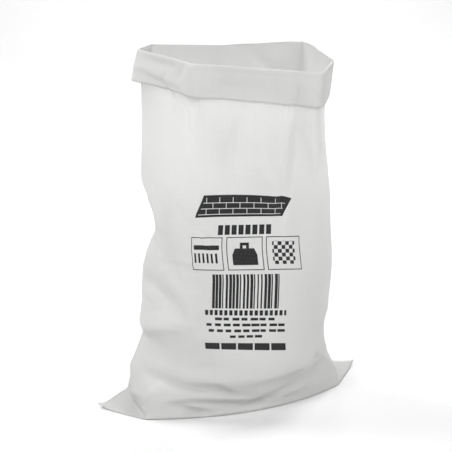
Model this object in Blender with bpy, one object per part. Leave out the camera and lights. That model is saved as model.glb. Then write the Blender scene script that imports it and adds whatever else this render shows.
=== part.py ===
"""Open woven sack, empty and standing on its bottom seam, with its mouth turned out into a cuff.

The sack is one flat tube of woven cloth, FLAT_WIDTH wide, sewn shut across the bottom. It stands with its
bottom spread into a box, so two ears of doubled cloth lie on the floor at the ends of the seam. From there
the tube rises, rounds out and ends in a seven-cornered mouth.

X runs along the bottom seam, -Y is the printed front, Z is up, and the origin is the middle of the base on
the floor. A place on the tube is given by its share of the way round: 0 is the left side fold, 1/4 the
middle of the front, 1/2 the right side fold and 3/4 the middle of the back.
"""
import math

import bmesh
import bpy
import numpy as np

FLAT_WIDTH = 0.55
MOUTH_HEIGHT = 0.620
CUFF_DEPTH = 0.066
WALL = 0.003
EAR_THICKNESS = 0.004

# The base, seen from above: the two tips of the seam, the four corners of the box between them and the
# middles of its two end walls, where the side folds meet the floor
BASE_HALF = 0.090
LEFT_TIP = (-0.258, -0.002)
RIGHT_TIP = (0.268, 0.001)
FRONT_LEFT = (-0.207, -0.092)
FRONT_RIGHT = (0.188, -0.086)
BACK_RIGHT = (0.184, 0.086)
BACK_LEFT = (-0.168, 0.070)
LEFT_END = (-0.194, -0.008)
RIGHT_END = (0.190, 0.001)
FRONT_BOW = 0.052
BACK_BOW = 0.010
END_WALL_HEIGHT = 0.009

# The round body: its long axis points SLANT away from +Y. At three heights it is an ellipse, with its middle,
# half its width, half its depth and the degrees by which its first point is turned
SLANT = math.radians(26.0)
OVALS = (
    (0.125, (0.010, -0.010), 0.168, 0.181, 10.0),
    (0.250, (0.014, -0.008), 0.173, 0.179, 9.0),
    (0.330, (0.013, -0.006), 0.171, 0.183, 7.0),
)

# The corners of the mouth, and of the neck under its cuff, from the left side fold round the front to the
# right side fold and back. The rim falls by RIM_SLOPE from the front to the back
MOUTH = ((-0.121, 0.118), (-0.095, -0.056), (0.059, -0.238), (0.136, -0.136), (0.192, 0.073), (0.038, 0.090),
         (-0.078, 0.158))
NECK_HEIGHT = 0.535
NECK = ((-0.117, 0.118), (-0.092, -0.054), (0.057, -0.234), (0.119, -0.142), (0.183, 0.073), (0.038, 0.092),
        (-0.078, 0.158))
CORNER_CUTS = (0.04, 0.25)
RIM_SLOPE = 0.017

# The cuff hangs outside the mouth and stands off a little further at its lower edge, most of all at the left
# side fold
FOLD_GAP = 0.002
HEM_GAP = 0.006
CORNER_FLARE = 0.014
FLARE_REACH = 0.03

# Where the cloth is creased: a path of (share of the way round, height), how far it stands out at each point,
# how far it reaches to the path's left and to its right, and how sharp its crest is (1 is a straight-sided
# tent)
CREASES = (
    ("corner ridge", ((0.190, 0.400), (0.177, 0.451), (0.172, 0.485), (0.176, 0.525), (0.179, 0.566),
                      (0.180, 0.610)),
     (0.0, 0.004, 0.008, 0.010, 0.011, 0.004), 0.045, 0.050, 1.3),
    ("left valley", ((0.156, 0.430), (0.154, 0.473), (0.147, 0.503), (0.132, 0.528), (0.110, 0.555),
                     (0.088, 0.600)),
     (0.0, -0.005, -0.008, -0.009, -0.007, -0.003), 0.035, 0.028, 1.6),
    ("right ridge", ((0.288, 0.360), (0.300, 0.413), (0.312, 0.459), (0.322, 0.508), (0.327, 0.540),
                     (0.332, 0.575)),
     (0.0, 0.006, 0.008, 0.008, 0.008, 0.004), 0.040, 0.020, 1.1),
    ("right hollow", ((0.405, 0.430), (0.398, 0.500), (0.392, 0.570)),
     (0.0, -0.006, -0.008), 0.022, 0.022, 1.4),
    ("side dark hollow", ((0.155, 0.190), (0.125, 0.250), (0.110, 0.300), (0.100, 0.350), (0.062, 0.392)),
     (0.0, -0.010, -0.015, -0.013, -0.003), 0.045, 0.060, 1.4),
    ("side pinch", ((-0.120, 0.345), (-0.050, 0.335), (0.010, 0.325), (0.045, 0.305), (0.072, 0.272)),
     (-0.012, -0.032, -0.037, -0.028, -0.010), 0.060, 0.105, 1.2),
    ("side shoulder", ((0.060, 0.405), (0.108, 0.387), (0.135, 0.366), (0.165, 0.341), (0.190, 0.305),
                       (0.205, 0.265)),
     (0.0, 0.006, 0.008, 0.008, 0.005, 0.0), 0.050, 0.030, 1.5),
    ("cone edge", ((0.074, 0.270), (0.107, 0.240), (0.132, 0.210), (0.157, 0.178)),
     (0.004, 0.007, 0.006, 0.0), 0.040, 0.030, 1.2),
    ("cone hollow", ((-0.020, 0.215), (0.050, 0.222), (0.100, 0.210), (0.140, 0.192)),
     (-0.004, -0.007, -0.006, 0.0), 0.030, 0.025, 1.4),
    ("cone crest", ((-0.040, 0.130), (0.030, 0.146), (0.090, 0.160), (0.130, 0.170), (0.158, 0.177)),
     (0.004, 0.009, 0.009, 0.006, 0.0), 0.040, 0.022, 1.1),
    ("low shoulder", ((0.093, 0.108), (0.137, 0.135), (0.165, 0.151), (0.206, 0.161), (0.260, 0.165)),
     (0.0, 0.006, 0.007, 0.006, 0.0), 0.040, 0.030, 1.4),
    ("left crease", ((0.020, 0.064), (0.071, 0.069), (0.101, 0.071), (0.128, 0.063), (0.167, 0.060),
                     (0.221, 0.049), (0.255, 0.034)),
     (0.0, -0.007, -0.006, -0.006, -0.008, -0.008, 0.0), 0.020, 0.014, 1.1),
    ("right belly", ((0.500, 0.118), (0.430, 0.104), (0.340, 0.086), (0.270, 0.076), (0.215, 0.078)),
     (0.0, 0.006, 0.008, 0.006, 0.0), 0.020, 0.070, 1.3),
    ("right crease", ((0.505, 0.092), (0.470, 0.088), (0.430, 0.079), (0.385, 0.071), (0.340, 0.065),
                      (0.294, 0.056), (0.255, 0.053), (0.220, 0.056)),
     (-0.004, -0.008, -0.011, -0.010, -0.009, -0.008, -0.004, 0.0), 0.018, 0.016, 1.1),
    ("right pinch", ((0.600, 0.090), (0.540, 0.098), (0.495, 0.096), (0.455, 0.090)),
     (0.0, -0.011, -0.012, 0.0), 0.030, 0.050, 1.2),
    ("back fold", ((0.700, 0.250), (0.665, 0.350), (0.645, 0.450), (0.640, 0.560)),
     (0.0, -0.008, -0.009, 0.0), 0.040, 0.045, 1.4),
    ("back ridge", ((0.780, 0.280), (0.810, 0.380), (0.820, 0.480), (0.815, 0.580)),
     (0.0, 0.007, 0.008, 0.0), 0.045, 0.045, 1.3),
    ("back belly", ((0.560, 0.130), (0.650, 0.105), (0.750, 0.095), (0.850, 0.110), (0.930, 0.140)),
     (0.0, 0.006, 0.009, 0.006, 0.0), 0.060, 0.035, 1.3),
    ("back crease", ((0.600, 0.062), (0.670, 0.050), (0.740, 0.056), (0.820, 0.044), (0.900, 0.060)),
     (0.0, -0.008, -0.009, -0.008, 0.0), 0.020, 0.018, 1.1),
)

# The bottom seam: a groove under the base holds the thread
SEAM_BOW = 0.055
GROOVE_WIDTH = 0.0036
GROOVE_DEPTH = 0.0020
THREAD_RADIUS = 0.0006
THREAD_GAP = 0.0003
GROOVE_END = 0.012
THREAD_SEGMENTS = 24
THREAD_SIDES = 8

RING_POINTS = 64
BODY_LEVELS = (0.020, 0.035, 0.049, 0.060, 0.070, 0.082, 0.096, 0.115, 0.135, 0.152, 0.170, 0.190, 0.215,
               0.240, 0.270, 0.300, 0.325, 0.350, 0.380, 0.410, 0.445, 0.480, 0.515, 0.550, 0.580, 0.600)

SHARE = np.arange(RING_POINTS) / RING_POINTS


def material(name, colour, roughness):
    """A plain non-metallic finish."""
    made = bpy.data.materials.new(name)
    made.use_nodes = True
    shader = made.node_tree.nodes["Principled BSDF"]
    shader.inputs["Base Color"].default_value = (*colour, 1.0)
    shader.inputs["Roughness"].default_value = roughness
    shader.inputs["Metallic"].default_value = 0.0
    made.diffuse_color = (*colour, 1.0)
    return made


def foot_outline(left_end, right_end):
    """The base's outline through its four corners, with its two ends at the side folds.

    Front and back bow out as parabolas; from each corner to its end the outline is straight.
    """
    corner = 0.5 * BASE_HALF / FLAT_WIDTH
    stops = (0.0, corner, 0.5 - corner, 0.5, 0.5 + corner, 1.0 - corner, 1.0)
    corners = np.array((left_end, FRONT_LEFT, FRONT_RIGHT, right_end, BACK_RIGHT, BACK_LEFT, left_end))
    outline = np.stack([np.interp(SHARE, stops, corners[:, axis]) for axis in (0, 1)], axis=-1)
    for start, bow in ((0.0, -FRONT_BOW), (0.5, BACK_BOW)):
        along = np.clip((SHARE - start - corner) / (0.5 - 2 * corner), 0.0, 1.0)
        outline[:, 1] += bow * 4 * along * (1 - along)
    return outline


def oval(centre, width, depth, turn):
    """An ellipse whose first point, the left side fold, is turned by so many degrees towards the front."""
    angle = math.radians(turn) + 2 * math.pi * SHARE
    across = -width * np.cos(angle)
    away = -depth * np.sin(angle)
    x = centre[0] + across * math.cos(SLANT) + away * math.sin(SLANT)
    y = centre[1] - across * math.sin(SLANT) + away * math.cos(SLANT)
    return np.stack([x, y], axis=-1)


def evenly(outline):
    """The same closed outline with RING_POINTS points an equal distance apart."""
    closed = np.vstack([outline, outline[:1]])
    steps = np.hypot(*np.diff(closed, axis=0).T)
    travelled = np.concatenate([[0.0], np.cumsum(steps)])
    wanted = SHARE * travelled[-1]
    return np.stack([np.interp(wanted, travelled, closed[:, axis]) for axis in (0, 1)], axis=-1)


def cornered_outline(corners):
    """A closed outline whose corners are each cut twice by a share of its sides."""
    outline = np.array(corners)
    for cut in CORNER_CUTS:
        ahead = np.roll(outline, -1, axis=0)
        near = outline * (1 - cut) + ahead * cut
        far = outline * cut + ahead * (1 - cut)
        outline = np.stack([near, far], axis=1).reshape(-1, 2)
    start = np.argmin(np.hypot(*(outline - corners[0]).T))
    return evenly(np.roll(outline, -start, axis=0))


def full_girth(outline):
    """The outline, deeper or shallower along the body's long axis until it is as long as the cloth is round."""
    across = outline[:, 0] * math.cos(SLANT) - outline[:, 1] * math.sin(SLANT)
    away = outline[:, 0] * math.sin(SLANT) + outline[:, 1] * math.cos(SLANT)
    middle = away.mean()
    wide = np.roll(across, -1) - across
    for _ in range(4):
        deep = np.roll(away, -1) - away
        length = np.hypot(wide, deep)
        away = middle + (away - middle) * (1 + (2 * FLAT_WIDTH - length.sum()) / (deep ** 2 / length).sum())
    x = across * math.cos(SLANT) + away * math.sin(SLANT)
    y = away * math.cos(SLANT) - across * math.sin(SLANT)
    return np.stack([x, y], axis=-1)


def body_outline(height):
    """The tube's outline at one height: eased between the sections named here, then creased."""
    sections = [(END_WALL_HEIGHT, foot_outline(LEFT_END, RIGHT_END))]
    sections += [(level, oval(*size)) for level, *size in OVALS]
    sections += [(NECK_HEIGHT, cornered_outline(NECK)), (MOUTH_HEIGHT, cornered_outline(MOUTH))]
    heights = [level for level, _ in sections]
    upper = int(np.clip(np.searchsorted(heights, height), 1, len(heights) - 1))
    along = np.clip((height - heights[upper - 1]) / (heights[upper] - heights[upper - 1]), 0.0, 1.0)
    eased = along * along * (3 - 2 * along)
    outline = full_girth(sections[upper - 1][1] * (1 - eased) + sections[upper][1] * eased)
    return outline + outward(outline) * crease_depth(height)[:, None]


def crease_depth(height):
    """How far each place of one ring stands out or in: a crease's sides fall away as a power of the distance."""
    depth = np.zeros(RING_POINTS)
    for _, path, depths, left, right, sharpness in CREASES:
        nearest = np.ones(RING_POINTS)
        push = np.zeros(RING_POINTS)
        for start, end, first, last in zip(path, path[1:], depths, depths[1:]):
            step = (end[0] - start[0]) * 2 * FLAT_WIDTH, end[1] - start[1]
            round_gap = ((SHARE - start[0] + 0.5) % 1.0 - 0.5) * 2 * FLAT_WIDTH
            up_gap = height - start[1]
            along = (round_gap * step[0] + up_gap * step[1]) / (step[0] ** 2 + step[1] ** 2)
            along = np.clip(along, 0.0, 1.0)
            aside = round_gap - along * step[0], up_gap - along * step[1]
            on_left = step[0] * aside[1] - step[1] * aside[0] > 0
            gap = np.hypot(*aside) / np.where(on_left, left, right)
            nearer = gap < nearest
            nearest = np.where(nearer, gap, nearest)
            tent = (first + (last - first) * along) * (1 - np.minimum(gap, 1.0)) ** sharpness
            push = np.where(nearer, tent, push)
        depth += push
    return depth


def outward(outline):
    """Unit vectors that point out of a closed outline that runs anticlockwise seen from above."""
    along = np.roll(outline, -1, axis=0) - np.roll(outline, 1, axis=0)
    normal = np.stack([along[:, 1], -along[:, 0]], axis=-1)
    return normal / np.hypot(normal[:, 0], normal[:, 1])[:, None]


def ring(outline, height, offset=0.0):
    """A closed outline moved out by an offset and lifted to a height; towards the rim it slopes back."""
    moved = outline + outward(outline) * offset
    away = moved[:, 0] * math.sin(SLANT) + moved[:, 1] * math.cos(SLANT)
    risen = np.clip(2 * height / MOUTH_HEIGHT - 1, 0.0, 1.0)
    slope = RIM_SLOPE * risen * risen * (3 - 2 * risen)
    return np.column_stack([moved, height - slope * away])


def cuff_ring(height, outside):
    """A ring of the cuff's inner or outer face, which stands off the neck more at its hem than at its fold."""
    drop = (MOUTH_HEIGHT - height) / CUFF_DEPTH
    round_gap = (SHARE + 0.5) % 1.0 - 0.5
    flare = CORNER_FLARE * np.exp(-(round_gap / FLARE_REACH) ** 2)
    offset = FOLD_GAP + (HEM_GAP - FOLD_GAP + flare) * drop + (WALL if outside else 0.0)
    return ring(body_outline(height), height, offset[:, None])


def sack_rings():
    """Every ring of the cloth's faces, from the floor up the outside, round the cuff and down the inside."""
    mouth = body_outline(MOUTH_HEIGHT)
    foot = foot_outline(LEFT_TIP, RIGHT_TIP)
    outer = [ring(foot, 0.0), ring(foot, EAR_THICKNESS), ring(body_outline(END_WALL_HEIGHT), END_WALL_HEIGHT)]
    outer += [ring(body_outline(level), level) for level in BODY_LEVELS]
    under_fold = MOUTH_HEIGHT - WALL - FOLD_GAP
    hem = MOUTH_HEIGHT - CUFF_DEPTH
    cuff_levels = (under_fold, MOUTH_HEIGHT - CUFF_DEPTH / 2, hem)
    cuff = [ring(mouth, under_fold), ring(mouth, MOUTH_HEIGHT - WALL, FOLD_GAP / 2)]
    cuff += [cuff_ring(level, outside=False) for level in cuff_levels]
    cuff += [cuff_ring(level, outside=True) for level in reversed(cuff_levels)]
    cuff += [ring(mouth, MOUTH_HEIGHT, FOLD_GAP / 2), ring(mouth, under_fold, -WALL)]
    inner = [ring(body_outline(level), level, -WALL) for level in reversed(BODY_LEVELS)]
    inner.append(ring(body_outline(END_WALL_HEIGHT), EAR_THICKNESS, -WALL))
    return outer + cuff + inner


def ladder(first, upward):
    """A flat cap over one ring: strips across it, from the front's points to the back's."""
    half = RING_POINTS // 2
    front = [first + step for step in range(half + 1)]
    back = [first + (RING_POINTS - step) % RING_POINTS for step in range(half + 1)]
    faces = []
    for step in range(half):
        corners = [front[step], front[step + 1], back[step + 1], back[step]]
        face = [corner for place, corner in enumerate(corners) if corner not in corners[:place]]
        faces.append(face if upward else face[::-1])
    return faces


def new_object(name, points, faces, finish):
    """A smooth-shaded object from points and faces, its faces turned outwards."""
    mesh = bpy.data.meshes.new(name)
    mesh.from_pydata([tuple(point) for point in points], [], faces)
    shape = bmesh.new()
    shape.from_mesh(mesh)
    bmesh.ops.recalc_face_normals(shape, faces=shape.faces)
    shape.to_mesh(mesh)
    shape.free()
    mesh.materials.append(finish)
    mesh.shade_smooth()
    mesh.set_sharp_from_angle(angle=math.radians(35))
    made = bpy.data.objects.new(name, mesh)
    bpy.context.collection.objects.link(made)
    return made


def sack_body(cloth):
    """The tube, its base, its ears and its cuff as one thin wall round an open hollow.

    The two faces of the wall are split along the same diagonals, so they stay apart where it is warped.
    """
    rings = sack_rings()
    points = np.concatenate(rings)
    faces = []
    for level in range(len(rings) - 1):
        this, beyond = level * RING_POINTS, (level + 1) * RING_POINTS
        falls = rings[level + 1][0, 2] < rings[level][0, 2]
        for step in range(RING_POINTS):
            after = (step + 1) % RING_POINTS
            near, far = (after, step) if falls else (step, after)
            faces.append((this + near, this + far, beyond + far))
            faces.append((this + near, beyond + far, beyond + near))
    faces += ladder(0, upward=False)
    faces += ladder((len(rings) - 1) * RING_POINTS, upward=True)
    return new_object("sack_body", points, faces, cloth)


def seam_route(count, end):
    """Points along the bottom seam: it is longer than the gap between its tips, so it bows to the front."""
    x = np.linspace(LEFT_TIP[0] + end, RIGHT_TIP[0] - end, count)
    along = (x - LEFT_TIP[0]) / (RIGHT_TIP[0] - LEFT_TIP[0])
    return np.stack([x, -SEAM_BOW * 4 * along * (1 - along)], axis=-1)


def strip_along(name, section, end, finish):
    """A bar of one section, sideways and up, carried along the bottom seam and ending short of its tips."""
    route = seam_route(THREAD_SEGMENTS + 1, end)
    heading = np.gradient(route, axis=0)
    heading /= np.hypot(heading[:, 0], heading[:, 1])[:, None]
    aside = np.stack([-heading[:, 1], heading[:, 0]], axis=-1)
    section = np.asarray(section)
    flat = route[:, None, :] + aside[:, None, :] * section[None, :, :1]
    height = np.broadcast_to(section[None, :, 1:], flat.shape[:2] + (1,))
    points = np.concatenate([flat, height], axis=-1).reshape(-1, 3)
    sides = len(section)
    faces = [tuple(range(sides))[::-1], tuple(THREAD_SEGMENTS * sides + side for side in range(sides))]
    for step in range(THREAD_SEGMENTS):
        for side in range(sides):
            after = (side + 1) % sides
            near, far = step * sides, (step + 1) * sides
            faces.append((near + side, near + after, far + after, far + side))
    return new_object(name, points, faces, finish)


def seam_groove(body, finish):
    """Cuts the groove for the thread into the underside of the base."""
    half = GROOVE_WIDTH / 2
    cutter = strip_along("seam_groove", ((-half, -GROOVE_DEPTH), (half, -GROOVE_DEPTH), (half, GROOVE_DEPTH),
                                         (-half, GROOVE_DEPTH)), GROOVE_END, finish)
    cutter.hide_render = True
    cutter.display_type = "WIRE"
    cut = body.modifiers.new("seam_groove", "BOOLEAN")
    cut.operation = "DIFFERENCE"
    cut.solver = "EXACT"
    cut.object = cutter


def seam_thread(finish):
    """The closing thread: one round strand along the seam, just under the groove's roof."""
    angle = 2 * math.pi * np.arange(THREAD_SIDES) / THREAD_SIDES
    middle = GROOVE_DEPTH - THREAD_GAP - THREAD_RADIUS
    section = np.stack([THREAD_RADIUS * np.cos(angle), middle + THREAD_RADIUS * np.sin(angle)], axis=-1)
    return strip_along("seam_thread", section, GROOVE_END + THREAD_GAP, finish)


def main():
    for old in list(bpy.data.objects):
        bpy.data.objects.remove(old, do_unlink=True)
    cloth = material("white_woven_cloth", (0.86, 0.86, 0.85), 0.55)
    thread = material("white_thread", (0.90, 0.90, 0.88), 0.70)
    body = sack_body(cloth)
    seam_groove(body, cloth)
    seam_thread(thread)


main()
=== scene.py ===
import math

import bpy
import numpy as np
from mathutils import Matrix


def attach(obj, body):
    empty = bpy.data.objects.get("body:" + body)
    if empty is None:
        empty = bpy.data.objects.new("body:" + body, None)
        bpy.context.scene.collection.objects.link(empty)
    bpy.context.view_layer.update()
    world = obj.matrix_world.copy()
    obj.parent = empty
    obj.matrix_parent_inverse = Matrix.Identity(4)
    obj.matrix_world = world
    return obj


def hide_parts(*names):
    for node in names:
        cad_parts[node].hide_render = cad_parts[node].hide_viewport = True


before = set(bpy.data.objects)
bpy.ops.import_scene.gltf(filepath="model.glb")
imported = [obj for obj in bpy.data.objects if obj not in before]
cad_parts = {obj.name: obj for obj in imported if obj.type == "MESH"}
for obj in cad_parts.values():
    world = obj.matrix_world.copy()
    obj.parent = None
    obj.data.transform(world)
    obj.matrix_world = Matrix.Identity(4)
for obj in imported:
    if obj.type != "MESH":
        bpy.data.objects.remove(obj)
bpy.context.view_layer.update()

# Lengths are in metres. A place on the cloth is given by two numbers: its share of the way round the tube,
# from the left end and on past the front, and its run, how far it is up the cloth from the bottom seam.

# the cloth, laid flat: one tube, sewn shut along the bottom
FLAT_WIDTH = 0.55
CLOTH_LENGTH = 0.80
ROUND = 2 * FLAT_WIDTH
CLOTH_THICKNESS = 0.0005
COLUMNS = 256

# how it stands: a flat base with two ears, a wall, and the mouth turned down as a cuff. The spare length of
# the wall is taken up over its crumpled lower part
CUFF_DEPTH = 0.059
FOLD_RUN = CLOTH_LENGTH - CUFF_DEPTH
BASE_HALF = 0.090
MOUTH_HEIGHT = 0.620
CRUMPLED = 0.30

# how high the layers lie on the floor: the base plate, the ears on it, how low they may sink, and the
# lowest wall
PLATE_HEIGHT = 0.0003
EAR_HEIGHT = 0.0014
EAR_FLOOR = 0.0013
WALL_FLOOR = 0.0016

# the camera's place, turn and lens. The sack's widths are measured across this view and its depths along it
CAMERA_TURN = math.radians(26.0)
CAMERA_REACH = 3.2
CAMERA_HEIGHT = 1.20
CAMERA_TILT = math.radians(15.62)
CAMERA_PAN = math.radians(0.047)
CAMERA_LENS = 146.9
CAMERA_FILM = 36.0
ACROSS_VIEW = math.cos(CAMERA_TURN)
ALONG_VIEW = math.sin(CAMERA_TURN)

# the base in plan: the ears' tips, the corners and ends between them, and how far front, back and seam bow
LEFT_TIP = (-0.258, -0.002)
RIGHT_TIP = (0.268, 0.001)
FRONT_LEFT = (-0.207, -0.092)
FRONT_RIGHT = (0.188, -0.086)
BACK_RIGHT = (0.184, 0.086)
BACK_LEFT = (-0.168, 0.070)
LEFT_END = (-0.194, -0.008)
RIGHT_END = (0.190, 0.001)
FRONT_BOW = 0.052
BACK_BOW = 0.010
SEAM_BOW = 0.055

# how far the ears' tips curl up, and from how far off
TIP_CURL = 0.008
TIP_REACH = 0.040

# the wall in plan: ovals, as height, middle, half width, half depth and turn in degrees, and above them the
# corners of the neck and the mouth, which are cut off twice, each time by a share of the sides
OVALS = (
    (0.125, (0.010, -0.010), 0.168, 0.181, 10.0),
    (0.250, (0.014, -0.008), 0.173, 0.179, 9.0),
    (0.330, (0.013, -0.006), 0.171, 0.183, 7.0),
)
NECK_HEIGHT = 0.535
NECK = ((-0.117, 0.118), (-0.092, -0.054), (0.057, -0.234), (0.119, -0.142), (0.183, 0.073), (0.038, 0.092),
        (-0.078, 0.158))
MOUTH = ((-0.121, 0.118), (-0.095, -0.056), (0.059, -0.238), (0.136, -0.136), (0.192, 0.073), (0.038, 0.090),
         (-0.078, 0.158))
MOUTH_CUTS = (0.04, 0.25)

# how much lower the rim is for each metre away from the camera, and how often a ring's girth is put right
RIM_SLOPE = 0.017
GIRTH_ROUNDS = 4

# how the cuff hangs: its gap from the wall under the fold, how much more it is at the hem, and how much
# more still at the left end, over a share of the way round. The last two are the least gap, under the fold
# and added at the hem
CUFF_GAP = 0.0015
CUFF_SPREAD = 0.0035
CUFF_FLARE = 0.016
FLARE_REACH = 0.03
LEAST_GAP = 0.0012
LEAST_SPREAD = 0.0023

# how the cloth is relaxed: the rounds, how much of its speed it keeps, how firmly it is held to its goal
# where it stands and where it is flat or folded, the strength of its slanting and of its longer links,
# which keep it from shearing and bending, and how weakly it resists being crumpled shorter
ROUNDS = 120
MOMENTUM = 0.9
HOLD_STANDING = 0.04
HOLD_FLAT = 0.10
SHEAR = 0.02
BEND = 0.05
SLACK = 0.10
LONG_LINKS = (2, 4)

# how a gap that is too small is put right: these shares of what is missing, by the cuff and by the wall
CUFF_YIELD = 0.7
WALL_YIELD = 0.3

# keep a division by a length from failing where the length is nothing
TINY = 1e-12
TINY_LINK = 1e-9
TINY_REACH = 1e-6

# where the sack is folded: a path of (share of the way round, height), how far it stands out at each point,
# how far it reaches to the path's left and to its right, and how sharp its crest is, where 1 is a
# straight-sided tent
FOLDS = (
    ("corner ridge", ((0.190, 0.400), (0.177, 0.451), (0.172, 0.485), (0.176, 0.525), (0.179, 0.566),
                      (0.180, 0.610)),
     (0.0, 0.004, 0.008, 0.010, 0.011, 0.004), 0.045, 0.050, 1.3),
    ("left valley", ((0.156, 0.430), (0.154, 0.473), (0.147, 0.503), (0.132, 0.528), (0.110, 0.555),
                     (0.088, 0.600)),
     (0.0, -0.005, -0.008, -0.009, -0.007, -0.003), 0.035, 0.028, 1.6),
    ("middle hollow", ((0.235, 0.400), (0.225, 0.450), (0.222, 0.500), (0.228, 0.560)),
     (0.0, -0.005, -0.006, 0.0), 0.035, 0.035, 1.6),
    ("right ridge", ((0.288, 0.360), (0.300, 0.413), (0.312, 0.459), (0.322, 0.508), (0.327, 0.540),
                     (0.332, 0.575)),
     (0.0, 0.006, 0.008, 0.008, 0.008, 0.004), 0.040, 0.014, 1.1),
    ("right hollow", ((0.405, 0.430), (0.398, 0.500), (0.392, 0.570)),
     (0.0, -0.006, -0.008), 0.022, 0.022, 1.4),
    ("side dark hollow", ((0.155, 0.190), (0.125, 0.250), (0.110, 0.300), (0.100, 0.350), (0.062, 0.392)),
     (0.0, -0.010, -0.015, -0.013, -0.003), 0.045, 0.060, 1.4),
    ("side pinch", ((-0.120, 0.350), (-0.050, 0.346), (0.010, 0.340), (0.045, 0.318)),
     (-0.010, -0.028, -0.028, -0.010), 0.055, 0.120, 1.3),
    ("side lower", ((-0.130, 0.275), (-0.050, 0.280), (0.020, 0.265)),
     (0.0, -0.018, 0.0), 0.040, 0.060, 1.4),
    ("side shoulder", ((0.060, 0.405), (0.108, 0.387), (0.135, 0.366), (0.165, 0.341), (0.190, 0.305),
                       (0.205, 0.265)),
     (0.0, 0.006, 0.008, 0.008, 0.005, 0.0), 0.050, 0.030, 1.5),
    ("cone edge", ((0.074, 0.270), (0.107, 0.240), (0.132, 0.210), (0.157, 0.178)),
     (0.004, 0.007, 0.006, 0.0), 0.040, 0.030, 1.2),
    ("cone hollow", ((-0.020, 0.215), (0.050, 0.222), (0.100, 0.210), (0.140, 0.192)),
     (-0.004, -0.007, -0.006, 0.0), 0.030, 0.025, 1.4),
    ("cone crest", ((-0.040, 0.130), (0.030, 0.146), (0.090, 0.160), (0.130, 0.170), (0.158, 0.177)),
     (0.004, 0.009, 0.009, 0.006, 0.0), 0.040, 0.022, 1.1),
    ("low shoulder", ((0.093, 0.108), (0.137, 0.135), (0.165, 0.151), (0.206, 0.161), (0.260, 0.165)),
     (0.0, 0.006, 0.007, 0.006, 0.0), 0.040, 0.030, 1.4),
    ("low hollow", ((0.130, 0.085), (0.175, 0.100), (0.220, 0.110)),
     (0.0, -0.006, 0.0), 0.030, 0.030, 1.6),
    ("left crease", ((0.020, 0.064), (0.071, 0.069), (0.101, 0.071), (0.128, 0.063), (0.167, 0.060),
                     (0.221, 0.049), (0.255, 0.034)),
     (0.0, -0.007, -0.006, -0.006, -0.008, -0.008, 0.0), 0.020, 0.014, 1.1),
    ("right belly", ((0.500, 0.118), (0.430, 0.104), (0.340, 0.086), (0.270, 0.076), (0.215, 0.078)),
     (0.0, 0.006, 0.008, 0.006, 0.0), 0.020, 0.070, 1.3),
    ("right crease", ((0.505, 0.092), (0.470, 0.088), (0.430, 0.079), (0.385, 0.071), (0.340, 0.065),
                      (0.294, 0.056), (0.255, 0.053), (0.220, 0.056)),
     (-0.004, -0.010, -0.014, -0.013, -0.012, -0.010, -0.005, 0.0), 0.014, 0.014, 1.1),
    ("right pinch", ((0.600, 0.108), (0.540, 0.116), (0.490, 0.114), (0.450, 0.110), (0.415, 0.108)),
     (0.0, -0.022, -0.032, -0.030, 0.0), 0.040, 0.050, 1.2),
    ("left foot", ((-0.070, 0.055), (-0.015, 0.060), (0.050, 0.065)),
     (0.0, 0.014, 0.003), 0.050, 0.050, 1.3),
    ("back fold", ((0.700, 0.250), (0.665, 0.350), (0.645, 0.450), (0.640, 0.560)),
     (0.0, -0.008, -0.009, 0.0), 0.040, 0.045, 1.4),
    ("back ridge", ((0.780, 0.280), (0.810, 0.380), (0.820, 0.480), (0.815, 0.580)),
     (0.0, 0.007, 0.008, 0.0), 0.045, 0.045, 1.3),
    ("back belly", ((0.560, 0.130), (0.650, 0.105), (0.750, 0.095), (0.850, 0.110), (0.930, 0.140)),
     (0.0, 0.006, 0.009, 0.006, 0.0), 0.060, 0.035, 1.3),
    ("back crease", ((0.600, 0.062), (0.670, 0.050), (0.740, 0.056), (0.820, 0.044), (0.900, 0.060)),
     (0.0, -0.008, -0.009, -0.008, 0.0), 0.020, 0.018, 1.1),
)

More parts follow.
